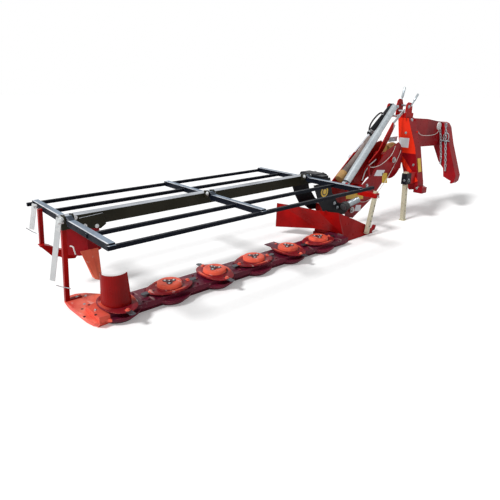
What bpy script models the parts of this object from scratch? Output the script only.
"""Disc mower, rear mounted, parked on its shoes and stands with the cutter bar on the ground.

Lengths are metres. Stations are measured from the axis of the outermost disc:
x runs along the cutter bar towards the headstock, y runs from the cut's front
towards the rear, z is height over the ground. OFFSET_X and OFFSET_Y move them
so that the middle of the whole machine's box stands at the world's origin.
Every place on the headstock's side is counted from LAST, the axis of the
innermost disc. Outlines are shares of a box between a low and a high corner.
"""
import math

import bmesh
import bpy
from mathutils import Matrix, Vector

# Clearances: between pieces that touch, between a pin and its bore
GAP = 0.0003
PIN_PLAY = 0.0010

# Cutter bar
DISC_COUNT = 6
DISC_PITCH = 0.400
LAST = DISC_PITCH * (DISC_COUNT - 1)
BAR_START = -0.170
BAR_END = LAST + 0.330
BAR_FRONT = 0.100
BAR_REAR = 0.130
DECK_TOP = 0.082
DECK_STEP = 0.004
SKID_HALF_DEG = 60.0
SKID_FACETS = 12
# Skid levels from the sole up: height, radius of a lobe, reach of the front between lobes
SKID_LEVELS = ((0.000, 0.105, 0.060), (0.038, 0.150, 0.100), (0.054, 0.150, 0.100))
HOUSING_RADIUS = 0.085
HOUSING_TOP = 0.094

# Discs
DISC_LOW = 0.0945
DISC_RIM = 0.108
DISC_LONG = 0.178
DISC_SHORT = 0.122
DISC_FACETS = 40
DOME_RADIUS = 0.072
DOME_SHOULDER = 0.116
DOME_TOP = 0.138
DOME_SHOULDER_SHARE = 0.86
DOME_CROWN_SHARE = 0.72
DOME_ROUND = 0.006
HUB_NUT_RADIUS = 0.022
HUB_NUT_TOP = 0.147
KNIFE_REACH = 0.226
KNIFE_ROOT = 0.135
KNIFE_WIDTH = 0.040
KNIFE_LOW = 0.0985
KNIFE_TOP = 0.1035

# Half cone on the outermost disc
HOOD_LOW = DISC_RIM + GAP
HOOD_TOP = 0.323
HOOD_LOW_RADIUS = 0.101
HOOD_TOP_RADIUS = 0.0885
HOOD_SHEET = 0.004
HOOD_MIDDLE_DEG = 231.0
HOOD_SPAN_DEG = 164.0
HOOD_FACETS = 16
HOOD_FOOT_LENGTH = 0.026
HOOD_FOOT_WIDTH = 0.030
HOOD_FOOT_SHEET = 0.007
HOOD_FOOT_TURNS = (-0.9, 0.0, 0.9)

# Shoes: outer plan as (x, y), inner plan as shares of its box
SHOE_TOP = 0.045
SHOE_RISE = 0.034
SHOE_SOLE_SHARE = 0.80
SHOE_OUTER = -0.222
SHOE_FRONT = -0.088
SHOE_REAR = 0.425
SHOE_INNER = 0.060
INNER_SHOE_TOP = 0.036
INNER_SHOE_END = LAST + 0.850
INNER_SHOE_FRONT = -0.020
INNER_SHOE_REAR = 0.350
INNER_SHOE_NOSE = 0.100
HOOK_REACH = 0.905
HOOK_ROOT = 0.780
HOOK_TOP = 0.078
HOOK_LOW = 0.010
HOOK_FRONT = -0.018
HOOK_REAR = 0.012
HOOK_SHARES = ((0.0, 0.0), (0.84, 0.29), (1.0, 0.96), (0.80, 1.0), (0.66, 0.59), (0.0, 0.35))

# Canopy
TUBE = 0.0245
TUBE_Z = 0.617
CROSS_WIDTH = 0.046
CROSS_HEIGHT = 0.042
CANOPY_Z = 0.620
CROSS_LEFT = -0.152
CROSS_MIDDLE = LAST * 0.485
CROSS_RIGHT = LAST + 0.090
FRONT_TUBE_Y = -0.357
FRONT_INNER_Y = -0.073
REAR_INNER_Y = 0.610
REAR_TUBE_Y = 0.912
FRONT_TUBE_END = LAST + 0.270
FRONT_OVERHANG = 0.006
REAR_OVERHANG = 0.042
CROSS_BEYOND = 0.004
BEAM_FRONT = 0.300
BEAM_REAR = 0.380
BEAM_LOW = 0.560
BEAM_TOP = 0.645
BEAM_START = -0.190
BEAM_END = LAST + 0.300
BEAM_PLATE_START = -0.075
BEAM_PLATE_END = 0.105
BEAM_PLATE_LOW = 0.529
BEAM_PLATE_TOP = 0.632
BEAM_PLATE_SHEET = 0.010
BEAM_PLATE_SHARES = ((0.0, 0.92), (0.0, 0.66), (0.19, 0.20), (0.77, 0.0), (1.0, 0.24), (0.92, 1.0))
GUARD_AXIS_Y = 0.262
GUARD_AXIS_Z = 0.648
GUARD_REAR_END = 0.236
HINGE_PIN = 0.006
EAR_THICK = 0.008
EAR_GAP = 0.0005
EAR_LOW = 0.600
EAR_TOP = 0.672
EAR_FRONT = 0.244
EAR_REAR = 0.310
EAR_SHARES = ((1.0, 0.0), (1.0, 0.90), (0.27, 1.0), (0.0, 0.86), (0.0, 0.47), (0.27, 0.28))
TONGUE_LOW = 0.604
TONGUE_TOP = 0.661
TONGUE_FRONT = 0.206
TONGUE_REAR = 0.275
TONGUE_SHARES = ((0.0, 0.0), (0.0, 0.61), (0.72, 1.0), (0.90, 1.0), (1.0, 0.88), (1.0, 0.67),
                 (0.81, 0.49), (0.43, 0.0))

# Posts at the outer end
POST = 0.030
POST_LOW = (-0.204, 0.352, 0.050)
POST_HIGH = (-0.168, 0.336, BEAM_LOW - GAP)
POST_FOOT_END = -0.105
POST_FOOT = 0.010
REAR_POST = 0.029
REAR_POST_HIGH = (-0.1898, 0.712, CANOPY_Z)
REAR_POST_LOW = (-0.213, 0.712, 0.345)
BRACKET_START = -0.241
BRACKET_END = 0.005
BRACKET_LOW = 0.222
BRACKET_TOP = 0.372
BRACKET_FRONT = 0.652
BRACKET_REAR = 0.716
BRACKET_SHARES = ((0.0, 0.97), (0.30, 0.35), (0.48, 0.27), (0.69, 0.07), (0.94, 0.0), (1.0, 0.11),
                  (1.0, 0.30), (0.50, 0.62), (0.31, 0.86), (0.13, 1.0))

# Swath board: columns are x, y, top, bottom
BOARD_SHEET = 0.004
BOARD_COLUMNS = ((-0.075, 0.6517, 0.500, 0.266), (-0.060, 0.6517, 0.500, 0.262),
                 (0.000, 0.600, 0.500, 0.255), (0.055, 0.548, 0.500, 0.262),
                 (0.155, 0.548, 0.470, 0.290))
# Deflector under it: columns are x at the top, x at the bottom, y at the bottom, bottom
DEFLECTOR_Y = 0.5437
DEFLECTOR_TOP = 0.305
DEFLECTOR_COLUMNS = ((-0.006, 0.052, 0.520, 0.094), (0.030, 0.066, 0.505, 0.080),
                     (0.075, 0.088, 0.500, 0.070), (0.130, 0.118, 0.505, 0.064))

# Inner panel: columns are x from LAST, y, top, then x, y, bottom
PANEL_SHEET = 0.004
PANEL_FACE = -0.0203
PANEL_COLUMNS = ((0.050, 0.610, 0.328, 0.050, 0.620, 0.076), (0.100, 0.420, 0.330, 0.270, 0.240, 0.100),
                 (0.170, 0.170, 0.318, 0.310, 0.120, 0.095),
                 (0.270, 0.000, 0.313, 0.3345, PANEL_FACE, 0.090),
                 (0.510, PANEL_FACE, 0.209, 0.400, PANEL_FACE, 0.004),
                 (0.700, PANEL_FACE, 0.123, 0.700, PANEL_FACE, 0.004),
                 (0.836, PANEL_FACE, 0.040, 0.836, PANEL_FACE, 0.004))

# Straps that hang at the outer end: name, x, y, top, lower x, step back, bottom, inner end of the bolt
STRAP_WIDTH = 0.035
STRAP_SHEET = 0.005
STRAP_FACING = (0.75, -0.66, 0.0)
STRAP_BOLT_RADIUS = 0.009
STRAP_BOLT_Z = 0.622
STRAP_BOLT_REACH = 0.012
EAR_FACE = CROSS_LEFT - CROSS_WIDTH * 0.5 - EAR_GAP - EAR_THICK
STRAPS = (("side_strap_near", -0.207, 0.272, 0.655, -0.272, 0.110, 0.205, EAR_FACE),
          ("side_strap_far", -0.194, 0.805, 0.640, -0.232, 0.030, 0.450, CROSS_LEFT - CROSS_WIDTH * 0.5))

# Gearbox and hanger
GEARBOX_START = BAR_END + 0.015
GEARBOX_LENGTH = 0.150
GEARBOX_FRONT = 0.165
GEARBOX_REAR = 0.345
GEARBOX_TOP = 0.330
GEARBOX_NECK_RADIUS = 0.060
GEARBOX_NECK_TOP = 0.400
HANGER_SHEET = 0.012
HANGER_NEAR_Y = 0.100
HANGER_FAR_Y = 0.392
HANGER_START = LAST + 0.020
HANGER_END = LAST + 0.545
HANGER_LOW = 0.245
HANGER_TOP = 0.640
HANGER_SHARES = ((0.0, 0.88), (0.21, 0.88), (0.21, 1.0), (0.42, 1.0), (0.50, 0.62), (0.69, 0.32),
                 (0.99, 0.11), (1.0, 0.05), (0.89, 0.0), (0.56, 0.04), (0.38, 0.205), (0.29, 0.205),
                 (0.14, 0.49))
STAY_START = LAST + 0.380
STAY_END = LAST + 0.480
STAY_LOW = 0.255
STAY_TOP = 0.300
TONGUE_PLATE_FRONT = 0.180
TONGUE_PLATE_REAR = 0.330
CAP_START = LAST + 0.136
CAP_END = LAST + 0.325
CAP_NEAR_Y = 0.200
CAP_FOOT = 0.030
CAP_LOW = 0.565
CAP_TOP = 0.668
CAP_STEP_SHARE = (BEAM_TOP + GAP - CAP_LOW) / (CAP_TOP - CAP_LOW)
CAP_BEAM_SHARE = (BEAM_END + GAP - CAP_START) / (CAP_END - CAP_START)
CAP_SHARES = ((0.0, CAP_STEP_SHARE), (0.0, 0.90), (0.08, 1.0), (0.72, 0.97), (0.92, 0.82),
              (1.0, 0.55), (1.0, 0.0), (CAP_BEAM_SHARE, 0.0), (CAP_BEAM_SHARE, CAP_STEP_SHARE))

# Arm and its two pivots
ARM_PIVOT_X = LAST + 1.320
ARM_PIVOT_Z = 0.700
UNIT_PIVOT_X = LAST + 0.660
UNIT_PIVOT_Z = 0.250
ARM_NEAR_Y = 0.140
ARM_FAR_Y = 0.362
ARM_PLATE = 0.010
ARM_PIN = 0.028
UNIT_PIN = 0.020
PIN_HEAD = 0.012
ARM_END_RADIUS = 0.205
ARM_END_FIRST_DEG = -105.0
ARM_END_LAST_DEG = 60.0
ARM_START = LAST + 0.530
ARM_LOW = 0.155
ARM_TOP = 0.840
ARM_LOWER_SHARES = ((0.063, 0.051), (0.215, 0.0), (0.570, 0.212), (0.696, 0.323), (0.835, 0.469))
ARM_NEAR_SHARES = ((0.848, 0.942), (0.532, 0.591), (0.291, 0.431), (0.089, 0.372), (0.0, 0.241))
ARM_FAR_SHARES = ((0.848, 1.0), (0.696, 0.963), (0.519, 0.920), (0.089, 0.533), (0.0, 0.387))
ARM_TUBE_X = LAST + 0.950
ARM_TUBE_Z = 0.420
ARM_TUBE_RADIUS = 0.036

# Lift cylinder
LIFT_Y = 0.418
LIFT_TOP_X = LAST + 1.648
LIFT_TOP_Z = 1.240
LIFT_LOW_X = LAST + 0.962
LIFT_LOW_Z = 0.729
LIFT_BARREL = 0.480
LIFT_BARREL_RADIUS = 0.033
LIFT_NECK_RADIUS = 0.018
LIFT_ROD_RADIUS = 0.013
LIFT_ROD_START = 0.395
LIFT_BORE_START = 0.060
LIFT_EYE_RADIUS = 0.026
LIFT_EYE_WIDTH = 0.032
LIFT_PIN = 0.014
LUG_RADIUS = 0.026

# Relief tube
RELIEF_Y = 0.192
RELIEF_LOW_X = LAST + 0.595
RELIEF_LOW_Z = 0.515
RELIEF_TOP_X = LAST + 1.345
RELIEF_TOP_Z = 1.249
RELIEF_TUBE = 0.690
RELIEF_RADIUS = 0.039
RELIEF_BORE = 0.034
RELIEF_EYE_RADIUS = 0.032
RELIEF_EYE_WIDTH = 0.040
RELIEF_ROD_START = 0.500
RELIEF_START = 0.030
RELIEF_BORE_START = 0.060
LUG_START = LAST + 0.565
LUG_END = LAST + 0.720
LUG_LOW = 0.350
LUG_TOP = 0.537
LUG_SHARES = ((0.35, 0.0), (0.0, 0.75), (0.02, 0.94), (0.17, 1.0), (0.29, 0.91), (0.43, 0.68),
              (1.0, 0.27), (1.0, 0.0))

# Drive shaft and its rest
SHAFT_Y = 0.3050
SHAFT_LOW = (LAST + 0.640, SHAFT_Y, 0.545)
SHAFT_HIGH = (LAST + 1.130, SHAFT_Y, 0.912)
SHAFT_RADIUS = 0.034
SHAFT_BELL_RADIUS = 0.046
SHAFT_BELL = 0.090
SHAFT_TAPER = 0.020
REST_START = LAST + 0.930
REST_SHEET = 0.030
REST_LOW = 0.690
REST_TOP = 0.775
BELL_Y = 0.275
BELL_START = (LAST + 1.385, BELL_Y, 0.765)
BELL_END = (LAST + 1.575, BELL_Y, 0.790)
BELL_RADIUS = 0.078
BELL_LIP_RADIUS = 0.052
BELL_TAPER = 0.140

# Balance spring on the near hanger plate
SPRING_START = (LAST + 0.420, 0.0597, 0.335)
SPRING_END = (LAST + 0.650, 0.0597, 0.372)
SPRING_SEAT_RADIUS = 0.040
SPRING_SEAT = 0.050
SPRING_RADIUS = 0.027

# Headstock
LEG_START = LAST + 1.640
LEG_WIDTH = 0.120
LEG_FRONT = -0.030
LEG_REAR = 0.318
LEG_LOW = 0.335
LEG_TOP = 1.120
LEG_SHARES = ((0.0, 0.03), (0.02, 0.11), (0.27, 0.605), (0.375, 0.72), (0.63, 1.0), (1.0, 1.0),
              (0.905, 0.73), (0.80, 0.515), (0.58, 0.245), (0.37, 0.035), (0.30, 0.0))
HITCH_FRONT = -0.085
HITCH_REAR = 0.020
HITCH_LOW = 0.315
HITCH_TOP = 0.380
HITCH_WIDTH = 0.100
RIGHT_START = LAST + 2.385
RIGHT_WIDTH = 0.115
RIGHT_FRONT = -0.095
RIGHT_REAR = 0.330
RIGHT_LOW = 0.330
RIGHT_TOP = 1.045
RIGHT_SHARES = ((0.0, 0.14), (0.02, 0.04), (0.08, 0.0), (0.14, 0.0), (0.12, 0.042), (0.22, 0.063),
                (0.36, 0.10), (0.40, 0.238), (0.574, 0.35), (0.795, 0.61), (1.0, 0.80), (1.0, 1.0),
                (0.62, 1.0), (0.54, 0.98), (0.47, 0.923), (0.33, 0.65))
ARCH_FRONT = 0.170
ARCH_REAR = 0.330
ARCH_LOW = 0.775
ARCH_HIGH = 1.113
ARCH_SHARES = ((0.0, 0.06), (0.40, 0.03), (0.80, 0.0), (1.0, 0.04), (1.0, 0.80), (0.45, 0.95),
               (0.0, 1.0))
TOWER_LOW = LEG_TOP + GAP
TOWER_BASE = 0.050
TOWER_SHEET = 0.014
TOWER_START = LEG_START - 0.035
TOWER_END = LEG_START + 0.085
# Plates of the tower: y, top
TOWER_PLATES = ((0.205, 1.285), (0.322, 1.320))
TOWER_SHARES = ((0.0, 0.0), (1.0, 0.0), (0.98, 0.70), (0.78, 0.95), (0.35, 1.0), (0.12, 0.92),
                (0.0, 0.70))
TOWER_PIN_X = LEG_START + 0.050
TOWER_PIN_Z = 1.250
TOWER_PIN = 0.011
LEVER_WIDTH = 0.020
LEVER_SHEET = 0.008
LEVER_NEAR_TIP = (LEG_START + 0.158, 1.370)
LEVER_FAR_TIP = (LEG_START + 0.105, 1.441)
FORK_Y = 0.456
FORK_SHEET = 0.012
FORK_START = LEG_START - 0.020
FORK_END = LEG_START + 0.085
FORK_TOP = 1.268

# Lock hook between the tower's plates
LOCK_Y = 0.238
LOCK_SHEET = 0.014
LOCK_START = LAST + 1.050
LOCK_END = LAST + 1.475
LOCK_LOW = 0.635
LOCK_TOP = 1.075
LOCK_SHARES = ((0.0, 0.11), (0.08, 0.0), (0.32, 0.10), (0.447, 0.25), (0.60, 0.40), (0.753, 0.59),
               (1.0, 0.93), (0.88, 1.0), (0.60, 0.66), (0.388, 0.375), (0.20, 0.25))
LINK_LOW = (LAST + 1.442, 1.062)
LINK_HIGH = (LAST + 1.655, 1.203)
LINK_WIDTH = 0.028
LINK_SHEET = 0.010
LINK_PIN = 0.009
BRACKET_NEAR = 0.215
BRACKET_FAR = 0.345
PIVOT_START = LAST + 1.255
PIVOT_LOW = 0.560
PIVOT_TOP = 0.772
PIVOT_SHARES = ((0.0, 0.377), (0.377, 0.189), (1.0, 0.0), (1.0, 0.66), (0.455, 0.613), (0.304, 0.80),
                (0.169, 1.0), (0.013, 0.896))
SADDLE_START = LAST + 1.470
SADDLE_LENGTH = 0.050
SADDLE_LOW = 0.610
SADDLE_TOP = 0.760

# Stands: square tube, foot, leaning line through foot and top
STAND_TUBE = 0.044
STAND_PLAY = 0.0004
STAND_FOOT = 0.012
STAND_FOOT_REACH = 0.008
STAND_LOW = (LAST + 1.530, 0.045, 0.0)
STAND_HIGH = (LAST + 1.478, 0.045, 0.560)
SOCKET_LOW = 0.425
SOCKET_TOP = 0.545
SOCKET_WALL = 0.010
INNER_TUBE = 0.036
INNER_LOW = (LAST + 0.690, -0.0515, 0.036)
INNER_HIGH = (LAST + 0.788, -0.0515, 0.460)
INNER_SOCKET_LOW = 0.395
INNER_SOCKET_TOP = 0.440
INNER_SOCKET_START = LAST + 0.748
INNER_SOCKET_END = LAST + 0.808

# Rib on the left leg: corners as (y, z)
RIB_SHEET = 0.010
RIB_CORNERS = ((0.2145, 0.715), (-0.025, 0.450), (0.012, 0.428), (0.2145, 0.640))

# Rope wheel on the arch
WHEEL_PLACE = (LAST + 2.307, 1.004)
WHEEL_RADIUS = 0.044
WHEEL_SHEET = 0.012

# Ropes: radius of the rope, half side of an eye, distance between two points along the rope
ROPE_RADIUS = 0.0028
EYE = 0.007
ROPE_STEP = 0.0165
ROPE_LEAD = 0.012
LEVER_FOOT = (LAST + 0.945, 0.520)
LEVER_HEAD = (LAST + 0.903, 0.674)
# Places of the eyes: x, y, z
RELEASE_HIGH_EYE = (LAST + 1.465, ARM_NEAR_Y - EYE, 0.800)
RELEASE_LOW_EYE = (LAST + 0.730, ARM_NEAR_Y - EYE, 0.335)
LATCH_HIGH_EYE = (LAST + 1.345, ARM_NEAR_Y - EYE, 0.855)
LATCH_LOW_EYE = (LEVER_HEAD[0], ARM_NEAR_Y - EYE, 0.662)
ARCH_EYE = (LEG_START + 0.1135, 0.124, 0.970)
# Courses of the ropes between their eyes: x, y, z
RELEASE_COURSE = ((LAST + 1.430, 0.131, 0.720), (LAST + 1.360, 0.130, 0.630), (LAST + 1.270, 0.129, 0.530),
                  (LAST + 1.170, 0.128, 0.435), (LAST + 1.060, 0.128, 0.352), (LAST + 0.960, 0.128, 0.313),
                  (LAST + 0.870, 0.128, 0.304), (LAST + 0.800, 0.130, 0.314))
LATCH_COURSE = ((LAST + 1.320, 0.132, 0.790), (LAST + 1.270, 0.131, 0.742), (LAST + 1.190, 0.130, 0.700),
                (LAST + 1.100, 0.130, 0.668), (LAST + 1.020, 0.130, 0.656), (LAST + 0.960, 0.131, 0.655))
ARCH_COURSE = ((LAST + 1.805, 0.130, 0.948), (LAST + 1.865, 0.138, 0.929), (LAST + 1.950, 0.145, 0.917),
               (LAST + 2.070, 0.150, 0.909), (LAST + 2.180, 0.154, 0.910), (LAST + 2.255, 0.158, 0.919),
               (LAST + 2.292, 0.161, 0.934))

# Chain on the right leg
CHAIN_HIGH = (0.112, 1.010)
CHAIN_LOW = (0.034, 0.470)
CHAIN_WIRE = 0.0042
CHAIN_LENGTH = 0.050
CHAIN_WIDTH = 0.029
CHAIN_HOLD = 0.001
CHAIN_ROUND = 3
CHAIN_FACETS = 6
CHAIN_STUD = 0.010

# Hose between the two ports of the lift cylinder: distance from the top eye, height over the axis
PORTS = (0.150, 0.456)
PORT_RADIUS = 0.013
PORT_TOP = 0.062
HOSE_RADIUS = 0.0075
HOSE_COURSE = ((0.205, 0.070), (0.250, 0.088), (0.303, 0.096), (0.356, 0.090), (0.401, 0.071))
HOSE_HEIGHT = 0.048
HOSE_LEAD = 0.012

# Place of the whole machine's box
OFFSET_X = -0.5 * (RIGHT_START + RIGHT_WIDTH + STRAPS[0][4])
OFFSET_Y = -0.5 * (FRONT_TUBE_Y + REAR_TUBE_Y)


def smooth(places, step):
    """Points about one step apart on a smooth curve through the places."""
    places = [Vector(place) for place in places]
    ends = [places[0] * 2.0 - places[1]] + places + [places[-1] * 2.0 - places[-2]]
    points = [places[0]]
    for before, start, end, after in zip(ends, ends[1:], ends[2:], ends[3:]):
        count = max(1, round((end - start).length / step))
        for i in range(1, count + 1):
            t = i / count
            points.append(0.5 * (start * 2.0 + (end - before) * t
                                 + (before * 2.0 - start * 5.0 + end * 4.0 - after) * t * t
                                 + (start * 3.0 - before - end * 3.0 + after) * t * t * t))
    return points


def clear_scene():
    """Remove whatever the file holds, so that a run always starts empty."""
    for found in list(bpy.data.objects):
        bpy.data.objects.remove(found, do_unlink=True)


def paint(name, colour, roughness, metallic):
    """Principled BSDF material with a plain colour."""
    material = bpy.data.materials.new(name)
    material.use_nodes = True
    shader = material.node_tree.nodes["Principled BSDF"]
    shader.inputs["Base Color"].default_value = (*colour, 1.0)
    shader.inputs["Roughness"].default_value = roughness
    shader.inputs["Metallic"].default_value = metallic
    return material


def red():
    """Painted steel of the cutter bar, arm and headstock."""
    return paint("red_paint", (0.62, 0.035, 0.02), 0.42, 0.0)


def black():
    """Painted steel of the canopy and the hanger."""
    return paint("black_paint", (0.018, 0.02, 0.024), 0.38, 0.0)


def zinc():
    """Galvanised steel of tubes, rods and straps."""
    return paint("zinc", (0.55, 0.57, 0.58), 0.38, 0.85)


def cream():
    """Yellowish zinc of the parking stands."""
    return paint("cream_zinc", (0.62, 0.56, 0.42), 0.45, 0.3)


def white():
    """White rope and plastic."""
    return paint("white_plastic", (0.80, 0.80, 0.77), 0.5, 0.0)


def tan():
    """Plastic guard of the drive shaft."""
    return paint("tan_plastic", (0.50, 0.33, 0.14), 0.55, 0.0)


def chrome():
    """Polished rod of the lift cylinder."""
    return paint("chrome", (0.75, 0.77, 0.8), 0.12, 1.0)


def station(x, y, z):
    """World place of a station."""
    return Vector((x + OFFSET_X, y + OFFSET_Y, z))


def node(name, bm, material, origin, smooth=False):
    """Object of a mesh that was built at its stations, with its origin at a station."""
    start = station(*origin)
    shift = Vector((OFFSET_X, OFFSET_Y, 0.0)) - start
    bmesh.ops.translate(bm, vec=shift, verts=bm.verts)
    bmesh.ops.recalc_face_normals(bm, faces=bm.faces)
    mesh = bpy.data.meshes.new(name)
    bm.to_mesh(mesh)
    bm.free()
    mesh.materials.append(material)
    for face in mesh.polygons:
        face.use_smooth = smooth
    made = bpy.data.objects.new(name, mesh)
    made.location = start
    bpy.context.collection.objects.link(made)
    return made


def tool(name, bm, origin):
    """Hidden object that a Boolean modifier reads."""
    made = node(name, bm, red(), origin)
    made.hide_render = True
    made.display_type = "WIRE"
    return made


def boolean(target, kind, operand):
    """Live Boolean modifier."""
    modifier = target.modifiers.new(kind.lower() + "_" + operand.name, "BOOLEAN")
    modifier.operation = kind
    modifier.solver = "EXACT"
    modifier.object = operand


def weld(target, meshes):
    """Union of a target with more solids, each touching what is there."""
    for number, bm in enumerate(meshes):
        origin = target.location - Vector((OFFSET_X, OFFSET_Y, 0.0))
        operand = tool(target.name + "_weld_" + str(number), bm, origin)
        boolean(target, "UNION", operand)
    return target


def cut(target, meshes):
    """Take solids away from a target."""
    for number, bm in enumerate(meshes):
        origin = target.location - Vector((OFFSET_X, OFFSET_Y, 0.0))
        operand = tool(target.name + "_cut_" + str(number), bm, origin)
        boolean(target, "DIFFERENCE", operand)
    return target


def shaped(shares, low, high):
    """Outline whose points are shares of the box between two corners."""
    places = []
    for a, b in shares:
        places.append((low[0] + a * (high[0] - low[0]), low[1] + b * (high[1] - low[1])))
    return places


def block(low, high):
    """Box between two corners."""
    bm = bmesh.new()
    bmesh.ops.create_cube(bm, size=1.0)
    size = Vector(high) - Vector(low)
    bmesh.ops.scale(bm, vec=size, verts=bm.verts)
    bmesh.ops.translate(bm, vec=(Vector(high) + Vector(low)) * 0.5, verts=bm.verts)
    return bm


def stack(levels):
    """Solid through flat outlines of equal count, each at its height: (height, outline) pairs."""
    bm = bmesh.new()
    rings = []
    for height, outline in levels:
        rings.append([bm.verts.new((x, y, height)) for x, y in outline])
    count = len(rings[0])
    for low, high in zip(rings, rings[1:]):
        for i in range(count):
            j = (i + 1) % count
            bm.faces.new((low[i], low[j], high[j], high[i]))
    bm.faces.new(rings[0])
    bm.faces.new(rings[-1])
    return bm


def prism(outline, axis, low, high):
    """Flat outline, counted in the two other axes, pushed from low to high along an axis."""
    bm = bmesh.new()
    rings = []
    for level in (low, high):
        ring = []
        for a, b in outline:
            place = {"x": (level, a, b), "y": (a, level, b), "z": (a, b, level)}[axis]
            ring.append(bm.verts.new(place))
        rings.append(ring)
    count = len(outline)
    for i in range(count):
        j = (i + 1) % count
        bm.faces.new((rings[0][i], rings[0][j], rings[1][j], rings[1][i]))
    bm.faces.new(rings[0])
    bm.faces.new(rings[1])
    return bm


def bar(start, end, width, height, side=(0.0, 1.0, 0.0), level_ends=False):
    """Square bar between two places, its width lying along side."""
    start = Vector(start)
    end = Vector(end)
    along = (end - start).normalized()
    across = (Vector(side) - along * along.dot(Vector(side))).normalized()
    over = along.cross(across)
    if level_ends:
        across = Vector((0.0, 1.0, 0.0))
        over = Vector((-1.0, 0.0, 0.0))
    bm = bmesh.new()
    rings = []
    for place in (start, end):
        ring = []
        for a, b in ((-0.5, -0.5), (0.5, -0.5), (0.5, 0.5), (-0.5, 0.5)):
            ring.append(bm.verts.new(place + across * (a * width) + over * (b * height)))
        rings.append(ring)
    for i in range(4):
        j = (i + 1) % 4
        bm.faces.new((rings[0][i], rings[0][j], rings[1][j], rings[1][i]))
    bm.faces.new(rings[0])
    bm.faces.new(rings[1])
    return bm


def turned(start, end, profile, facets=24):
    """Solid of revolution: profile holds (distance from start, radius) pairs."""
    start = Vector(start)
    end = Vector(end)
    along = (end - start).normalized()
    turn = Vector((0.0, 0.0, 1.0)).rotation_difference(along).to_matrix()
    bm = bmesh.new()
    rings = []
    for distance, radius in profile:
        ring = []
        for i in range(facets):
            angle = math.tau * i / facets
            spot = Vector((radius * math.cos(angle), radius * math.sin(angle), distance))
            ring.append(bm.verts.new(start + turn @ spot))
        rings.append(ring)
    for low, high in zip(rings, rings[1:]):
        for i in range(facets):
            j = (i + 1) % facets
            bm.faces.new((low[i], low[j], high[j], high[i]))
    bm.faces.new(rings[0])
    bm.faces.new(rings[-1])
    return bm


def rod(start, end, radius, facets=20):
    """Plain round rod."""
    length = (Vector(end) - Vector(start)).length
    return turned(start, end, ((0.0, radius), (length, radius)), facets)


def cross_rod(x, z, low, high, radius):
    """Round rod that lies along y."""
    return rod((x, low, z), (x, high, z), radius)


def sheet(top, bottom, thickness, side):
    """Bent sheet between a top and a bottom line of places, thickened towards side."""
    bm = bmesh.new()
    shift = Vector(side).normalized() * thickness
    layers = []
    for offset in (Vector((0.0, 0.0, 0.0)), shift):
        layers.append([[bm.verts.new(Vector(p) + offset) for p in line] for line in (top, bottom)])
    count = len(top)
    for layer in layers:
        for i in range(count - 1):
            bm.faces.new((layer[0][i], layer[0][i + 1], layer[1][i + 1], layer[1][i]))
    for row in (0, 1):
        for i in range(count - 1):
            near = layers[0][row]
            far = layers[1][row]
            bm.faces.new((near[i], near[i + 1], far[i + 1], far[i]))
    for i in (0, count - 1):
        bm.faces.new((layers[0][0][i], layers[0][1][i], layers[1][1][i], layers[1][0][i]))
    return bm


def arc(centre, radius, first_deg, last_deg, count):
    """Places on a circle's arc, in the plane of an outline."""
    places = []
    for i in range(count + 1):
        angle = math.radians(first_deg + (last_deg - first_deg) * i / count)
        places.append((centre[0] + radius * math.cos(angle), centre[1] + radius * math.sin(angle)))
    return places


def disc_x(number):
    """Station of a disc's axis, number 0 the outermost."""
    return DISC_PITCH * number


def skid_outline(radius, front):
    """Plan of the skid: one lobe under each disc, straight at the back."""
    outline = []
    for number in range(DISC_COUNT):
        outline += arc((disc_x(number), 0.0), radius, 270.0 - SKID_HALF_DEG, 270.0 + SKID_HALF_DEG,
                       SKID_FACETS)
    outline.append((BAR_END, -front))
    outline.append((BAR_END, BAR_REAR))
    outline.append((BAR_START, BAR_REAR))
    outline.append((BAR_START, -front))
    return outline


def cutter_bar():
    """Flat bar with a dished, scalloped skid and a round housing under each disc."""
    levels = []
    for height, radius, front in SKID_LEVELS:
        levels.append((height, skid_outline(radius, front)))
    made = node("cutter_bar", stack(levels), red(), (0.0, 0.0, 0.0))
    inside = (SKID_LEVELS[1][0] + SKID_LEVELS[2][0]) * 0.5
    low = (BAR_START + DECK_STEP, -BAR_FRONT + DECK_STEP, inside)
    high = (BAR_END - DECK_STEP, BAR_REAR - DECK_STEP, DECK_TOP)
    solids = [block(low, high)]
    for number in range(DISC_COUNT):
        foot = (disc_x(number), 0.0, DECK_TOP * 0.5)
        head = (disc_x(number), 0.0, HOUSING_TOP)
        solids.append(rod(foot, head, HOUSING_RADIUS, 28))
    weld(made, solids)


def disc_outline():
    """Oval plan of one disc, long along x."""
    places = []
    for i in range(DISC_FACETS):
        angle = math.tau * i / DISC_FACETS
        places.append((DISC_LONG * math.cos(angle), DISC_SHORT * math.sin(angle)))
    return places


def set_disc(bm, number, turned_quarter):
    """Turn a piece that was made at the origin and move it to its disc's axis."""
    if turned_quarter:
        bmesh.ops.rotate(bm, matrix=Matrix.Rotation(math.pi / 2, 3, "Z"), verts=bm.verts)
    bmesh.ops.translate(bm, vec=(disc_x(number), 0.0, 0.0), verts=bm.verts)
    return bm


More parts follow.
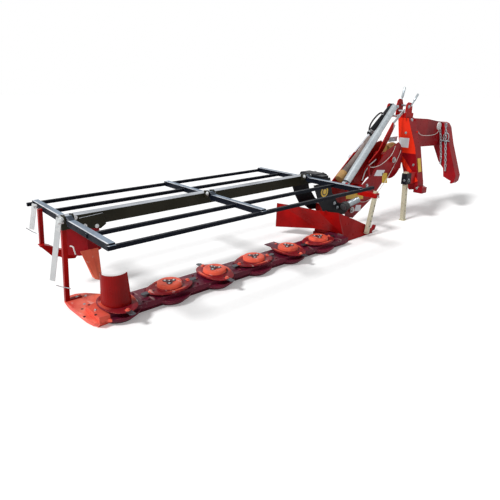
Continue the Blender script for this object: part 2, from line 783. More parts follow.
def cutting_disc(number, turned_quarter):
    """Oval disc with a domed hub and two knives."""
    plate = set_disc(prism(disc_outline(), "z", DISC_LOW, DISC_RIM), number, turned_quarter)
    made = node("disc_" + str(number + 1), plate, red(), (disc_x(number), 0.0, 0.0))
    low = DISC_LOW + GAP
    foot = (disc_x(number), 0.0, low)
    head = (disc_x(number), 0.0, HUB_NUT_TOP)
    dome = turned(foot, head, (
        (0.0, DOME_RADIUS),
        (DOME_SHOULDER - low, DOME_RADIUS),
        (DOME_TOP - DOME_ROUND - low, DOME_RADIUS * DOME_SHOULDER_SHARE),
        (DOME_TOP - low, DOME_RADIUS * DOME_CROWN_SHARE),
        (DOME_TOP - low, HUB_NUT_RADIUS),
        (HUB_NUT_TOP - low, HUB_NUT_RADIUS)), 32)
    solids = [dome]
    half = KNIFE_WIDTH * 0.5
    for side in (-1.0, 1.0):
        root = side * KNIFE_ROOT
        tip = side * KNIFE_REACH
        plan = [(root, -half), (tip, -half), (tip, half), (root, half)]
        solids.append(set_disc(prism(plan, "z", KNIFE_LOW, KNIFE_TOP), number, turned_quarter))
    weld(made, solids)


def disc_hood():
    """Half cone standing on the outermost disc, open towards the rear."""
    bm = bmesh.new()
    start = HOOD_MIDDLE_DEG - HOOD_SPAN_DEG * 0.5
    columns = []
    for i in range(HOOD_FACETS + 1):
        angle = math.radians(start + HOOD_SPAN_DEG * i / HOOD_FACETS)
        column = []
        for radius, z in ((HOOD_LOW_RADIUS, HOOD_LOW), (HOOD_TOP_RADIUS, HOOD_TOP),
                          (HOOD_TOP_RADIUS - HOOD_SHEET, HOOD_TOP),
                          (HOOD_LOW_RADIUS - HOOD_SHEET, HOOD_LOW)):
            column.append(bm.verts.new((radius * math.cos(angle), radius * math.sin(angle), z)))
        columns.append(column)
    for near, far in zip(columns, columns[1:]):
        for i in range(4):
            j = (i + 1) % 4
            bm.faces.new((near[i], near[j], far[j], far[i]))
    bm.faces.new(columns[0])
    bm.faces.new(columns[-1])
    made = node("disc_1_hood", bm, red(), (0.0, 0.0, 0.0))
    feet = []
    for turn in HOOD_FOOT_TURNS:
        angle = math.radians(HOOD_MIDDLE_DEG) + turn
        ray = Vector((math.cos(angle), math.sin(angle), 0.0))
        lift = Vector((0.0, 0.0, HOOD_LOW + HOOD_SHEET))
        outer = ray * (HOOD_LOW_RADIUS - HOOD_SHEET * 0.25) + lift
        inner = outer - ray * HOOD_FOOT_LENGTH
        side = (-math.sin(angle), math.cos(angle), 0.0)
        feet.append(bar(inner, outer, HOOD_FOOT_WIDTH, HOOD_FOOT_SHEET, side))
    weld(made, feet)


def shrunk(outline, corner, share):
    """Outline drawn in towards one of its corners."""
    return [(corner[0] + (x - corner[0]) * share, corner[1] + (y - corner[1]) * share) for x, y in outline]


def shoes():
    """Dished outer shoe beside the bar's end and inner shoe under the gearbox."""
    side = BAR_START - GAP
    back = BAR_REAR + GAP
    reach = SHOE_REAR - back
    outline = [(side, SHOE_FRONT), (side, back), (SHOE_INNER, back),
               (SHOE_INNER * 0.33, back + reach * 0.60), (-SHOE_INNER, back + reach * 0.90),
               (-SHOE_INNER * 2.0, SHOE_REAR), (SHOE_OUTER * 0.85, SHOE_REAR - reach * 0.02),
               (SHOE_OUTER, back + reach * 0.78), (SHOE_OUTER * 0.95, back),
               (SHOE_OUTER * 0.92, SHOE_FRONT * -0.25), (SHOE_OUTER * 0.84, SHOE_FRONT * 0.75)]
    levels = ((0.0, shrunk(outline, (side, back), SHOE_SOLE_SHARE)), (SHOE_RISE, outline), (SHOE_TOP, outline))
    node("outer_shoe", stack(levels), red(), (side, back, 0.0))
    start = BAR_END + GAP
    inner = [(start, INNER_SHOE_FRONT + INNER_SHOE_NOSE * 0.6), (start + INNER_SHOE_NOSE, INNER_SHOE_FRONT),
             (INNER_SHOE_END - INNER_SHOE_NOSE * 0.5, INNER_SHOE_FRONT),
             (INNER_SHOE_END, INNER_SHOE_FRONT + INNER_SHOE_NOSE * 0.3),
             (INNER_SHOE_END, INNER_SHOE_REAR), (start, INNER_SHOE_REAR)]
    made = node("inner_shoe", prism(inner, "z", 0.0, INNER_SHOE_TOP), red(), (start, INNER_SHOE_REAR, 0.0))
    hook = shaped(HOOK_SHARES, (LAST + HOOK_ROOT, HOOK_LOW), (LAST + HOOK_REACH, HOOK_TOP))
    weld(made, [prism(hook, "y", HOOK_FRONT, HOOK_REAR)])


def gearbox():
    """Angle gearbox that stands on the inner shoe, with its input neck."""
    end = GEARBOX_START + GEARBOX_LENGTH
    body = block((GEARBOX_START, GEARBOX_FRONT, INNER_SHOE_TOP + GAP), (end, GEARBOX_REAR, GEARBOX_TOP))
    x = GEARBOX_START + GEARBOX_LENGTH * 0.5
    y = (GEARBOX_FRONT + GEARBOX_REAR) * 0.5
    made = node("gearbox", body, red(), (x, y, GEARBOX_TOP))
    weld(made, [rod((x, y, GEARBOX_TOP - GEARBOX_NECK_RADIUS), (x, y, GEARBOX_NECK_TOP),
                    GEARBOX_NECK_RADIUS, 24)])


def hanger():
    """Two black plates on the gearbox, the beam's end cap and the tongue that turns on the arm's pin."""
    outline = shaped(HANGER_SHARES, (HANGER_START, HANGER_LOW), (HANGER_END, HANGER_TOP))
    for name, low in (("hanger_near", HANGER_NEAR_Y), ("hanger_far", HANGER_FAR_Y)):
        node(name, prism(outline, "y", low, low + HANGER_SHEET), black(), (HANGER_START, low, HANGER_LOW))
    inner_low = HANGER_NEAR_Y + HANGER_SHEET + GAP
    inner_high = HANGER_FAR_Y - GAP
    cap = shaped(CAP_SHARES, (CAP_START, CAP_LOW), (CAP_END, CAP_TOP))
    made = node("hanger_hood", prism(cap, "y", CAP_NEAR_Y, inner_high), black(), (CAP_START, CAP_NEAR_Y, CAP_LOW))
    weld(made, [block((CAP_START + GAP, inner_low, CAP_LOW + CAP_FOOT),
                      (CAP_START + CAP_FOOT * 3.0, CAP_NEAR_Y + CAP_FOOT, BEAM_TOP + CAP_FOOT * 0.5))])
    cut(made, [block((CAP_START - GAP, BEAM_FRONT - GAP, CAP_LOW - GAP),
                     (BEAM_END + GAP, BEAM_REAR + GAP, BEAM_TOP + GAP))])
    stays = (("gearbox_stay_near", inner_low, GEARBOX_FRONT - GAP),
             ("gearbox_stay_far", GEARBOX_REAR + GAP, inner_high))
    for name, low, high in stays:
        stay = block((STAY_START, low, STAY_LOW), (STAY_END, high, STAY_TOP))
        node(name, stay, black(), (STAY_START, low, STAY_LOW))
    start = GEARBOX_START + GEARBOX_LENGTH + GAP
    radius = UNIT_PIN * 2.2
    plan = [(start, UNIT_PIVOT_Z - radius), (UNIT_PIVOT_X, UNIT_PIVOT_Z - radius)]
    plan += arc((UNIT_PIVOT_X, UNIT_PIVOT_Z), radius, -60.0, 60.0, 4)
    plan += [(UNIT_PIVOT_X, UNIT_PIVOT_Z + radius), (start, UNIT_PIVOT_Z + radius * 1.4)]
    made = node("hanger_tongue", prism(plan, "y", TONGUE_PLATE_FRONT, TONGUE_PLATE_REAR), black(),
                (UNIT_PIVOT_X, TONGUE_PLATE_FRONT, UNIT_PIVOT_Z))
    cut(made, [cross_rod(UNIT_PIVOT_X, UNIT_PIVOT_Z, TONGUE_PLATE_FRONT - PIN_HEAD,
                         TONGUE_PLATE_REAR + PIN_HEAD, UNIT_PIN + GAP)])
    pin = cross_rod(UNIT_PIVOT_X, UNIT_PIVOT_Z, ARM_NEAR_Y - PIN_HEAD, ARM_FAR_Y + ARM_PLATE + PIN_HEAD,
                    UNIT_PIN)
    node("hanger_pin", pin, zinc(), (UNIT_PIVOT_X, ARM_NEAR_Y, UNIT_PIVOT_Z), True)


def beam():
    """Main beam of the canopy, with the hinge ears and pins of the front guard."""
    body = block((BEAM_START, BEAM_FRONT, BEAM_LOW), (BEAM_END, BEAM_REAR, BEAM_TOP))
    made = node("main_beam", body, black(), (CROSS_MIDDLE, BEAM_REAR, BEAM_LOW))
    outline = shaped(EAR_SHARES, (EAR_FRONT, EAR_LOW), (EAR_REAR, EAR_TOP))
    plate = shaped(BEAM_PLATE_SHARES, (BEAM_PLATE_START, BEAM_PLATE_LOW), (BEAM_PLATE_END, BEAM_PLATE_TOP))
    solids = [prism(plate, "y", BEAM_FRONT - BEAM_PLATE_SHEET, BEAM_FRONT + BEAM_PLATE_SHEET)]
    for x in (CROSS_LEFT, CROSS_MIDDLE, CROSS_RIGHT):
        inner = CROSS_WIDTH * 0.5 + EAR_GAP
        reach = inner + EAR_THICK * 0.5
        solids.append(prism(outline, "x", x - inner - EAR_THICK, x - inner))
        solids.append(prism(outline, "x", x + inner, x + inner + EAR_THICK))
        solids.append(rod((x - reach, GUARD_AXIS_Y, GUARD_AXIS_Z), (x + reach, GUARD_AXIS_Y, GUARD_AXIS_Z),
                          HINGE_PIN))
    weld(made, solids)


def rear_frame():
    """Rear half of the canopy frame, fixed to the beam."""
    top = CANOPY_Z + CROSS_HEIGHT * 0.5
    low = CANOPY_Z - CROSS_HEIGHT * 0.5
    half = CROSS_WIDTH * 0.5
    start = BEAM_REAR + GAP
    end = REAR_TUBE_Y + TUBE * 0.5 + CROSS_BEYOND
    first = block((CROSS_LEFT - half, start, low), (CROSS_LEFT + half, end, top))
    made = node("rear_frame", first, black(), (CROSS_MIDDLE, start, CANOPY_Z))
    solids = []
    for x in (CROSS_MIDDLE, CROSS_RIGHT):
        solids.append(block((x - half, start, low), (x + half, end, top)))
    rows = ((REAR_INNER_Y, 0.0), (REAR_TUBE_Y, REAR_OVERHANG))
    for y, beyond in rows:
        solids.append(block((CROSS_LEFT - half - beyond + GAP, y - TUBE * 0.5, TUBE_Z - TUBE * 0.5),
                            (CROSS_RIGHT + half - GAP, y + TUBE * 0.5, TUBE_Z + TUBE * 0.5)))
    weld(made, solids)


def front_guard():
    """Front half of the canopy frame, folding up on the beam's ears."""
    top = CANOPY_Z + CROSS_HEIGHT * 0.5
    low = CANOPY_Z - CROSS_HEIGHT * 0.5
    half = CROSS_WIDTH * 0.5
    crosses = (CROSS_LEFT, CROSS_MIDDLE, CROSS_RIGHT)
    first = block((CROSS_LEFT - half, FRONT_TUBE_Y, low), (CROSS_LEFT + half, GUARD_REAR_END, top))
    made = node("front_guard", first, black(), (CROSS_MIDDLE, GUARD_AXIS_Y, GUARD_AXIS_Z))
    solids = []
    for x in crosses[1:]:
        solids.append(block((x - half, FRONT_TUBE_Y, low), (x + half, GUARD_REAR_END, top)))
    rows = ((FRONT_TUBE_Y, FRONT_TUBE_END), (FRONT_INNER_Y, CROSS_RIGHT + half - GAP))
    for y, stop in rows:
        solids.append(block((CROSS_LEFT - half - FRONT_OVERHANG, y - TUBE * 0.5, TUBE_Z - TUBE * 0.5),
                            (stop, y + TUBE * 0.5, TUBE_Z + TUBE * 0.5)))
    tongue = shaped(TONGUE_SHARES, (TONGUE_FRONT, TONGUE_LOW), (TONGUE_REAR, TONGUE_TOP))
    for x in crosses:
        solids.append(prism(tongue, "x", x - half + PIN_PLAY, x + half - PIN_PLAY))
    weld(made, solids)
    bores = []
    for x in crosses:
        bores.append(rod((x - half, GUARD_AXIS_Y, GUARD_AXIS_Z), (x + half, GUARD_AXIS_Y, GUARD_AXIS_Z),
                         HINGE_PIN + GAP))
    cut(made, bores)


def posts():
    """Two outer posts that join the canopy to the shoe and the swath board."""
    near = bar(POST_LOW, POST_HIGH, POST, POST, level_ends=True)
    made = node("outer_post", near, red(), POST_LOW)
    half = POST * 0.5
    foot = block((POST_LOW[0] - half, POST_LOW[1] - half, SHOE_TOP + GAP),
                 (POST_FOOT_END, POST_LOW[1] + half, SHOE_TOP + GAP + POST_FOOT))
    weld(made, [foot])
    made = node("rear_post", bar(REAR_POST_LOW, REAR_POST_HIGH, REAR_POST, REAR_POST, level_ends=True), red(),
                REAR_POST_LOW)
    outline = shaped(BRACKET_SHARES, (BRACKET_START, BRACKET_LOW), (BRACKET_END, BRACKET_TOP))
    weld(made, [prism(outline, "y", BRACKET_FRONT, BRACKET_REAR)])


def swath_board():
    """Bent outer board that leads the cut grass inwards, and the curved deflector under it."""
    top = [(x, y, high) for x, y, high, low in BOARD_COLUMNS]
    bottom = [(x, y, low) for x, y, high, low in BOARD_COLUMNS]
    node("outer_swath_board", sheet(top, bottom, BOARD_SHEET, (0.0, -1.0, 0.0)), red(), bottom[1])
    top = [(x, DEFLECTOR_Y, DEFLECTOR_TOP) for x, x_low, y_low, low in DEFLECTOR_COLUMNS]
    bottom = [(x_low, y_low, low) for x, x_low, y_low, low in DEFLECTOR_COLUMNS]
    node("swath_deflector", sheet(top, bottom, BOARD_SHEET, (0.0, -1.0, 0.0)), red(), top[1])


def inner_panel():
    """Folded red panel between the innermost disc and the tractor."""
    top = [(LAST + x, y, high) for x, y, high, x_low, y_low, low in PANEL_COLUMNS]
    bottom = [(LAST + x_low, y_low, low) for x, y, high, x_low, y_low, low in PANEL_COLUMNS]
    node("inner_panel", sheet(top, bottom, PANEL_SHEET, (-0.5, -1.0, 0.0)), red(), bottom[3])


def side_straps():
    """Flat galvanised straps that hang at the canopy's outer end, each on its bolt."""
    for name, x, y, top, low_x, back, low, face in STRAPS:
        strap = bar((x, y, top), (low_x, y + back, low), STRAP_WIDTH, STRAP_SHEET, STRAP_FACING)
        made = node(name, strap, zinc(), (x, y, top))
        weld(made, [rod((face - GAP, y, STRAP_BOLT_Z), (x - STRAP_BOLT_REACH, y, STRAP_BOLT_Z),
                        STRAP_BOLT_RADIUS, 16)])


def arm():
    """Two side plates with their cross tube and lugs, on the headstock's pin."""
    low = (ARM_START, ARM_LOW)
    high = (ARM_PIVOT_X, ARM_TOP)
    lower = shaped(ARM_LOWER_SHARES, low, high)
    lower += arc((ARM_PIVOT_X, ARM_PIVOT_Z), ARM_END_RADIUS, ARM_END_FIRST_DEG, ARM_END_LAST_DEG, 12)
    rows = (("arm_near_plate", ARM_NEAR_SHARES, ARM_NEAR_Y), ("arm_far_plate", ARM_FAR_SHARES, ARM_FAR_Y))
    for name, shares, y in rows:
        plate = prism(lower + shaped(shares, low, high), "y", y, y + ARM_PLATE)
        made = node(name, plate, red(), (ARM_PIVOT_X, y, ARM_PIVOT_Z))
        bores = []
        for x, z, radius in ((ARM_PIVOT_X, ARM_PIVOT_Z, ARM_PIN), (UNIT_PIVOT_X, UNIT_PIVOT_Z, UNIT_PIN)):
            bores.append(cross_rod(x, z, y - PIN_HEAD, y + ARM_PLATE + PIN_HEAD, radius + PIN_PLAY))
        cut(made, bores)
        if y == ARM_NEAR_Y:
            middle = y + ARM_PLATE * 0.5
            lever = bar((LEVER_FOOT[0], middle, LEVER_FOOT[1]), (LEVER_HEAD[0], middle, LEVER_HEAD[1]),
                        LEVER_WIDTH, ARM_PLATE, (1.0, 0.0, 0.0))
            weld(made, [lever, eye(RELEASE_HIGH_EYE), eye(RELEASE_LOW_EYE), eye(LATCH_HIGH_EYE),
                        eye(LATCH_LOW_EYE)])
    inner_low = ARM_NEAR_Y + ARM_PLATE + GAP
    tube = cross_rod(ARM_TUBE_X, ARM_TUBE_Z, inner_low, ARM_FAR_Y - GAP, ARM_TUBE_RADIUS)
    node("arm_cross_tube", tube, red(), (ARM_TUBE_X, inner_low, ARM_TUBE_Z), True)
    lug = shaped(LUG_SHARES, (LUG_START, LUG_LOW), (LUG_END, LUG_TOP))
    lug_high = RELIEF_Y - RELIEF_EYE_WIDTH * 0.5 - GAP
    node("relief_lug", prism(lug, "y", inner_low, lug_high), red(), (LUG_START, inner_low, LUG_LOW))
    start = ARM_FAR_Y + ARM_PLATE + GAP
    stub = cross_rod(LIFT_LOW_X, LIFT_LOW_Z, start, LIFT_Y - LIFT_EYE_WIDTH * 0.5 - GAP, LUG_RADIUS)
    node("lift_lug", stub, red(), (LIFT_LOW_X, start, LIFT_LOW_Z))


def drive_shaft():
    """Drive shaft in its plastic guard between the arm's plates, and the guard bell by the headstock."""
    length = (Vector(SHAFT_HIGH) - Vector(SHAFT_LOW)).length
    shape = ((0.0, SHAFT_BELL_RADIUS), (SHAFT_BELL, SHAFT_BELL_RADIUS),
             (SHAFT_BELL + SHAFT_TAPER, SHAFT_RADIUS), (length - SHAFT_BELL, SHAFT_RADIUS),
             (length - SHAFT_BELL + SHAFT_TAPER, SHAFT_BELL_RADIUS), (length, SHAFT_BELL_RADIUS))
    node("drive_shaft", turned(SHAFT_LOW, SHAFT_HIGH, shape), tan(), SHAFT_LOW, True)
    end = REST_START + REST_SHEET
    carrier = block((REST_START, SHAFT_Y - SHAFT_BELL_RADIUS, REST_LOW), (end, ARM_FAR_Y - GAP, REST_TOP))
    made = node("shaft_rest", carrier, red(), (REST_START, ARM_FAR_Y - GAP, REST_LOW))
    cut(made, [rod(SHAFT_LOW, SHAFT_HIGH, SHAFT_RADIUS + GAP, 24)])
    length = (Vector(BELL_END) - Vector(BELL_START)).length
    bell = turned(BELL_START, BELL_END, ((0.0, BELL_RADIUS), (BELL_TAPER, BELL_RADIUS),
                                         (length, BELL_LIP_RADIUS)))
    node("shaft_bell", bell, tan(), BELL_START, True)


def balance_spring():
    """Spring seat and galvanised spring housing on the hanger's near plate."""
    length = (Vector(SPRING_END) - Vector(SPRING_START)).length
    shape = ((0.0, SPRING_SEAT_RADIUS), (SPRING_SEAT, SPRING_SEAT_RADIUS),
             (SPRING_SEAT + PIN_PLAY, SPRING_RADIUS), (length, SPRING_RADIUS))
    node("balance_spring", turned(SPRING_START, SPRING_END, shape), zinc(), SPRING_START, True)


def cable(name, points, radius, material, origin):
    """Rope or hose: a bevelled curve with closed ends along the points."""
    curve = bpy.data.curves.new(name, "CURVE")
    curve.dimensions = "3D"
    curve.bevel_depth = radius
    curve.bevel_resolution = 2
    curve.use_fill_caps = True
    spline = curve.splines.new("POLY")
    spline.points.add(len(points) - 1)
    start = Vector(origin)
    for found, place in zip(spline.points, points):
        found.co = (*(Vector(place) - start), 1.0)
    made = bpy.data.objects.new(name, curve)
    bpy.context.scene.collection.objects.link(made)
    made.location = station(*origin)
    curve.materials.append(material)
    return made


def eye(place):
    """Small block that holds a rope's end."""
    x, y, z = place
    return block((x - EYE, y - EYE, z - EYE), (x + EYE, y + EYE + GAP, z + EYE))


def rope(name, start, leaving, course, end, arriving):
    """White rope that leaves one face and arrives at another, straight for a short way at both."""
    places = (start, start + Vector(leaving) * ROPE_LEAD, *course, end + Vector(arriving) * ROPE_LEAD, end)
    cable(name, smooth(places, ROPE_STEP), ROPE_RADIUS, white(), tuple(start))


def ropes():
    """Release and latch ropes on the arm, and the rope from the left leg to the wheel on the arch."""
    down = Vector((0.0, 0.0, -1.0))
    right = Vector((1.0, 0.0, 0.0))
    off = EYE + GAP
    rope("release_rope", Vector(RELEASE_HIGH_EYE) + down * off, down, RELEASE_COURSE,
         Vector(RELEASE_LOW_EYE) + right * off, right)
    rope("latch_rope", Vector(LATCH_HIGH_EYE) + down * off, down, LATCH_COURSE,
         Vector(LATCH_LOW_EYE) + right * off, right)
    x, z = WHEEL_PLACE
    high = ARCH_FRONT - GAP
    wheel = cross_rod(x, z, high - WHEEL_SHEET, high, WHEEL_RADIUS)
    node("rope_wheel", wheel, white(), (x, high, z), True)
    rope("arch_rope", Vector(ARCH_EYE) + right * off, right, ARCH_COURSE,
         Vector((x, high - WHEEL_SHEET * 0.5, z - WHEEL_RADIUS - GAP)), down)


def ring(centre, along, across):
    """One link of the chain: round wire bent to a long ring that lies along and across."""
    out = along.cross(across)
    straight = CHAIN_LENGTH * 0.5 - CHAIN_WIDTH * 0.5
    radius = CHAIN_WIDTH * 0.5 - CHAIN_WIRE
    bm = bmesh.new()
    rings = []
    for end, first in ((1.0, 0.0), (-1.0, math.pi)):
        for i in range(CHAIN_ROUND + 1):
            angle = first + math.pi * i / CHAIN_ROUND
            outward = along * math.sin(angle) + across * math.cos(angle)
            middle = centre + along * (end * straight) + outward * radius
            section = []
            for j in range(CHAIN_FACETS):
                turn = math.tau * (j + 0.5) / CHAIN_FACETS
                section.append(bm.verts.new(middle + outward * (CHAIN_WIRE * math.cos(turn))
                                            + out * (CHAIN_WIRE * math.sin(turn))))
            rings.append(section)
    for near, far in zip(rings, rings[1:] + rings[:1]):
        for j in range(CHAIN_FACETS):
            k = (j + 1) % CHAIN_FACETS
            bm.faces.new((near[j], near[k], far[k], far[j]))
    return bm


def chain():
    """Chain against the right leg's inner face, held by a stud at each end."""
    x = RIGHT_START - GAP - CHAIN_WIDTH * 0.5
    high = Vector((x, *CHAIN_HIGH))
    low = Vector((x, *CHAIN_LOW))
    along = (low - high).normalized()
    pitch = CHAIN_LENGTH - CHAIN_WIRE * 4.0 + CHAIN_HOLD
    count = int((low - high).length / pitch) + 1
    flat = Vector((1.0, 0.0, 0.0))
    upright = along.cross(flat)
    links = []
    for i in range(count):
        links.append(ring(high + along * (pitch * i), along, flat if i % 2 else upright))
    last = high + along * (pitch * (count - 1))
    made = node("leg_chain", links[0], zinc(), tuple(high))
    studs = []
    for place, side in ((high, -1.0), (last, 1.0)):
        middle = place + along * (side * (CHAIN_LENGTH * 0.5 - CHAIN_WIRE))
        studs.append(rod(middle - flat * CHAIN_STUD, middle + flat * (CHAIN_WIDTH * 0.5), CHAIN_STUD, 12))
    weld(made, links[1:] + studs)


def headstock():
    """Two legs and an arch."""
    end = LEG_START + LEG_WIDTH
    outline = shaped(LEG_SHARES, (LEG_FRONT, LEG_LOW), (LEG_REAR, LEG_TOP))
    made = node("headstock_left_leg", prism(outline, "x", LEG_START, end), red(),
                (LEG_START, LEG_FRONT, LEG_LOW))
    weld(made, [block((LEG_START - GAP, HITCH_FRONT, HITCH_LOW),
                      (LEG_START + HITCH_WIDTH, HITCH_REAR, HITCH_TOP)),
                prism(RIB_CORNERS, "x", LEG_START - RIB_SHEET, LEG_START + RIB_SHEET),
                eye(ARCH_EYE)])
    low, high = socket_box()
    room = Vector((GAP, GAP, GAP))
    cut(made, [block(tuple(Vector(low) - room), tuple(Vector(high) + room))])
    outline = shaped(RIGHT_SHARES, (RIGHT_FRONT, RIGHT_LOW), (RIGHT_REAR, RIGHT_TOP))
    node("headstock_right_leg", prism(outline, "x", RIGHT_START, RIGHT_START + RIGHT_WIDTH), red(),
         (RIGHT_START, RIGHT_FRONT, RIGHT_LOW))
    outline = shaped(ARCH_SHARES, (end + GAP, ARCH_LOW), (RIGHT_START - GAP, ARCH_HIGH))
    node("headstock_arch", prism(outline, "y", ARCH_FRONT, ARCH_REAR), red(),
         (end + GAP, ARCH_FRONT, ARCH_LOW))


def tower():
    """Two plates on the left leg with their levers, and the fork of the lift cylinder behind them."""
    end = LEG_START + LEG_WIDTH
    near = TOWER_PLATES[0][0]
    far = TOWER_PLATES[1][0]
    base = block((LEG_START + GAP, near + GAP, TOWER_LOW), (end - GAP, LEG_REAR, TOWER_LOW + TOWER_BASE))
    made = node("cylinder_tower", base, red(), (LEG_START, near, TOWER_LOW))
    fork = shaped(TOWER_SHARES, (FORK_START, TOWER_LOW + GAP), (FORK_END, FORK_TOP))
    shelf = block((LEG_START + TOWER_BASE, LEG_REAR - TOWER_SHEET, TOWER_LOW + GAP),
                  (FORK_END - TOWER_SHEET, FORK_Y + FORK_SHEET - GAP, TOWER_LOW + TOWER_SHEET))
    solids = [shelf, prism(fork, "y", FORK_Y, FORK_Y + FORK_SHEET)]
    for y, top in TOWER_PLATES:
        outline = shaped(TOWER_SHARES, (TOWER_START, TOWER_LOW), (TOWER_END, top))
        solids.append(prism(outline, "y", y, y + TOWER_SHEET))
    solids.append(cross_rod(LIFT_TOP_X, LIFT_TOP_Z, far + TOWER_SHEET * 0.5, FORK_Y + FORK_SHEET * 0.5,
                            LIFT_PIN))
    weld(made, solids)
    low = near - LEVER_SHEET - GAP
    high = far + TOWER_SHEET + LEVER_SHEET + GAP
    cut(made, [cross_rod(TOWER_PIN_X, TOWER_PIN_Z, low, high, TOWER_PIN + GAP)])
    shaft = cross_rod(TOWER_PIN_X, TOWER_PIN_Z, low, high, TOWER_PIN)
    made = node("tower_levers", shaft, zinc(), (TOWER_PIN_X, low, TOWER_PIN_Z))
    levers = []
    for y, tip in ((low + LEVER_SHEET * 0.5, LEVER_NEAR_TIP), (high - LEVER_SHEET * 0.5, LEVER_FAR_TIP)):
        levers.append(bar((TOWER_PIN_X, y, TOWER_PIN_Z), (tip[0], y, tip[1]), LEVER_WIDTH, LEVER_SHEET,
                          (1.0, 0.0, 0.0)))
    weld(made, levers)


def lock_hook():
    """Hook that holds the raised arm, on its link between the tower's plates."""
    outline = shaped(LOCK_SHARES, (LOCK_START, LOCK_LOW), (LOCK_END, LOCK_TOP))
    face = LOCK_Y + LOCK_SHEET
    made = node("lock_hook", prism(outline, "y", LOCK_Y, face), red(), (LOCK_END, LOCK_Y, LOCK_TOP))
    middle = face + LINK_SHEET * 0.5 - GAP
    link = bar((LINK_LOW[0], middle, LINK_LOW[1]), (LINK_HIGH[0], middle, LINK_HIGH[1]), LINK_WIDTH, LINK_SHEET,
               (1.0, 0.0, 0.0))
    pin = cross_rod(LINK_HIGH[0] - LINK_PIN, LINK_HIGH[1] - LINK_PIN, TOWER_PLATES[0][0] + TOWER_SHEET + GAP,
                    TOWER_PLATES[1][0] - GAP, LINK_PIN)
    weld(made, [link, pin])


def pivot_bracket():
    """Bracket with the arm's pin and the saddle of the guard bell."""
    outline = shaped(PIVOT_SHARES, (PIVOT_START, PIVOT_LOW), (LEG_START - GAP, PIVOT_TOP))
    made = node("arm_pivot_bracket", prism(outline, "y", BRACKET_NEAR, BRACKET_FAR), red(),
                (ARM_PIVOT_X, BRACKET_NEAR, ARM_PIVOT_Z))
    pin = cross_rod(ARM_PIVOT_X, ARM_PIVOT_Z, ARM_NEAR_Y - PIN_HEAD * 2.0,
                    ARM_FAR_Y + ARM_PLATE + PIN_HEAD * 2.0, ARM_PIN)
    saddle = block((SADDLE_START, BRACKET_NEAR + TOWER_BASE, SADDLE_LOW),
                   (SADDLE_START + SADDLE_LENGTH, BRACKET_FAR - GAP, SADDLE_TOP))
    weld(made, [pin, saddle])
    along = (Vector(BELL_END) - Vector(BELL_START)).normalized()
    cut(made, [rod(Vector(BELL_START) - along * PIN_HEAD, Vector(BELL_END) + along * PIN_HEAD,
                   BELL_RADIUS + GAP, 24)])


def lift_cylinder():
    """Black barrel on the tower and a polished rod to the arm's lug."""
    top = Vector((LIFT_TOP_X, LIFT_Y, LIFT_TOP_Z))
    low = Vector((LIFT_LOW_X, LIFT_Y, LIFT_LOW_Z))
    along = (low - top).normalized()
    half = Vector((0.0, LIFT_EYE_WIDTH * 0.5, 0.0))
    neck = LIFT_EYE_RADIUS + PIN_HEAD
    barrel = turned(top + along * LIFT_EYE_RADIUS * 0.7, low, (
        (0.0, LIFT_NECK_RADIUS), (neck - LIFT_EYE_RADIUS * 0.7, LIFT_NECK_RADIUS),
        (neck - LIFT_EYE_RADIUS * 0.7 + PIN_PLAY, LIFT_BARREL_RADIUS),
        (LIFT_BARREL - LIFT_EYE_RADIUS * 0.7, LIFT_BARREL_RADIUS)))
    over = along.cross(Vector((0.0, 1.0, 0.0)))
    made = node("lift_barrel", barrel, black(), tuple(top))
    ports = []
    for distance in PORTS:
        foot = top + along * distance
        ports.append(rod(foot + over * (LIFT_BARREL_RADIUS * 0.7), foot + over * PORT_TOP, PORT_RADIUS, 12))
    weld(made, [rod(top - half, top + half, LIFT_EYE_RADIUS), *ports])
    cut(made, [rod(top + along * LIFT_BORE_START, low, LIFT_ROD_RADIUS + PIN_PLAY),
               rod(top - half * 2.0, top + half * 2.0, LIFT_PIN + PIN_PLAY)])
    stem = rod(top + along * LIFT_ROD_START, low - along * LIFT_PIN, LIFT_ROD_RADIUS)
    made = node("lift_rod", stem, chrome(), tuple(low))
    weld(made, [rod(low - half, low + half, LIFT_EYE_RADIUS)])
    reach = PORT_RADIUS + GAP
    first = PORTS[0] + reach
    last = PORTS[1] - reach
    ends = ((first, HOSE_HEIGHT), (first + HOSE_LEAD, HOSE_HEIGHT), *HOSE_COURSE,
            (last - HOSE_LEAD, HOSE_HEIGHT), (last, HOSE_HEIGHT))
    places = [top + along * distance + over * height for distance, height in ends]
    cable("lift_hose", smooth(places, HOSE_RADIUS * 3.5), HOSE_RADIUS, black(), tuple(places[0]))


def relief_tube():
    """Galvanised relief tube that swings on the arm, with its inner tube."""
    low = Vector((RELIEF_LOW_X, RELIEF_Y, RELIEF_LOW_Z))
    top = Vector((RELIEF_TOP_X, RELIEF_Y, RELIEF_TOP_Z))
    along = (top - low).normalized()
    half = Vector((0.0, RELIEF_EYE_WIDTH * 0.5, 0.0))
    outer = rod(low + along * RELIEF_START, low + along * RELIEF_TUBE, RELIEF_RADIUS, 28)
    made = node("relief_tube", outer, zinc(), tuple(low))
    weld(made, [rod(low - half, low + half, RELIEF_EYE_RADIUS)])
    cut(made, [rod(low + along * RELIEF_BORE_START, top, RELIEF_BORE, 28)])
    inner = rod(low + along * RELIEF_ROD_START, top, RELIEF_BORE - GAP, 28)
    node("relief_inner", inner, zinc(), tuple(low))


def longer(low, high, reach):
    """The two ends of a line, each pushed out along it."""
    along = (Vector(high) - Vector(low)).normalized() * reach
    return Vector(low) - along, Vector(high) + along


def socket_box():
    """Low and high corner of the headstock stand's socket."""
    wall = STAND_TUBE * 0.5 + SOCKET_WALL
    middle = STAND_HIGH[0] + (STAND_LOW[0] - STAND_HIGH[0]) * 0.15
    return ((middle - wall, STAND_LOW[1] - wall, SOCKET_LOW), (LEG_START - GAP, STAND_LOW[1] + wall, SOCKET_TOP))


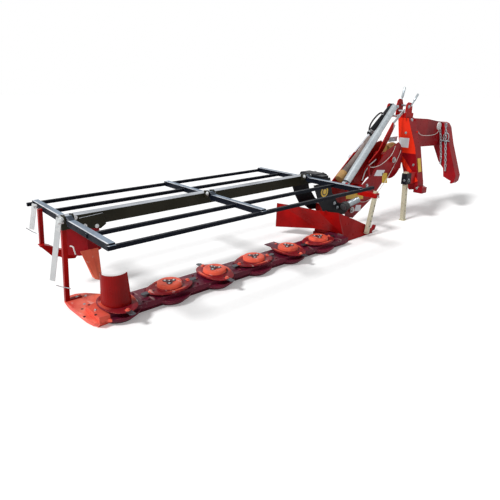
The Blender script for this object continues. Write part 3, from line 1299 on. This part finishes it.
def stands():
    """Two parking stands, each sliding in its socket."""
    tube = STAND_TUBE
    reach = tube * 0.5 + STAND_FOOT_REACH
    along = (Vector(STAND_HIGH) - Vector(STAND_LOW)).normalized()
    start = Vector(STAND_LOW) + along * (STAND_FOOT - PIN_PLAY)
    made = node("headstock_stand", bar(start, STAND_HIGH, tube, tube), cream(), STAND_LOW)
    weld(made, [block((STAND_LOW[0] - reach, STAND_LOW[1] - reach, STAND_LOW[2]),
                      (STAND_LOW[0] + reach, STAND_LOW[1] + reach, STAND_LOW[2] + STAND_FOOT))])
    low, high = socket_box()
    made = node("stand_socket", block(low, high), black(), low)
    out_low, out_high = longer(STAND_LOW, STAND_HIGH, tube)
    cut(made, [bar(out_low, out_high, tube + STAND_PLAY * 2.0, tube + STAND_PLAY * 2.0)])
    tube = INNER_TUBE
    reach = tube * 0.5
    along = (Vector(INNER_HIGH) - Vector(INNER_LOW)).normalized()
    start = Vector(INNER_LOW) + along * (STAND_FOOT - PIN_PLAY)
    made = node("inner_stand", bar(start, INNER_HIGH, tube, tube), cream(), INNER_LOW)
    weld(made, [block((INNER_LOW[0] - reach, INNER_LOW[1] - reach, INNER_LOW[2]),
                      (INNER_LOW[0] + reach, INNER_LOW[1] + reach, INNER_LOW[2] + STAND_FOOT))])
    socket = block((INNER_SOCKET_START, INNER_LOW[1] - tube * 0.5 - SOCKET_WALL, INNER_SOCKET_LOW),
                   (INNER_SOCKET_END, ARM_NEAR_Y - GAP, INNER_SOCKET_TOP))
    made = node("inner_socket", socket, red(), (INNER_SOCKET_START, INNER_LOW[1], INNER_SOCKET_LOW))
    out_low, out_high = longer(INNER_LOW, INNER_HIGH, tube)
    cut(made, [bar(out_low, out_high, tube + STAND_PLAY * 2.0, tube + STAND_PLAY * 2.0)])


def build():
    """Make every node."""
    clear_scene()
    cutter_bar()
    for number in range(DISC_COUNT):
        cutting_disc(number, number % 2 == 0)
    disc_hood()
    shoes()
    gearbox()
    hanger()
    beam()
    rear_frame()
    front_guard()
    posts()
    swath_board()
    inner_panel()
    side_straps()
    arm()
    drive_shaft()
    balance_spring()
    headstock()
    ropes()
    chain()
    tower()
    lock_hook()
    pivot_bracket()
    lift_cylinder()
    relief_tube()
    stands()


build()
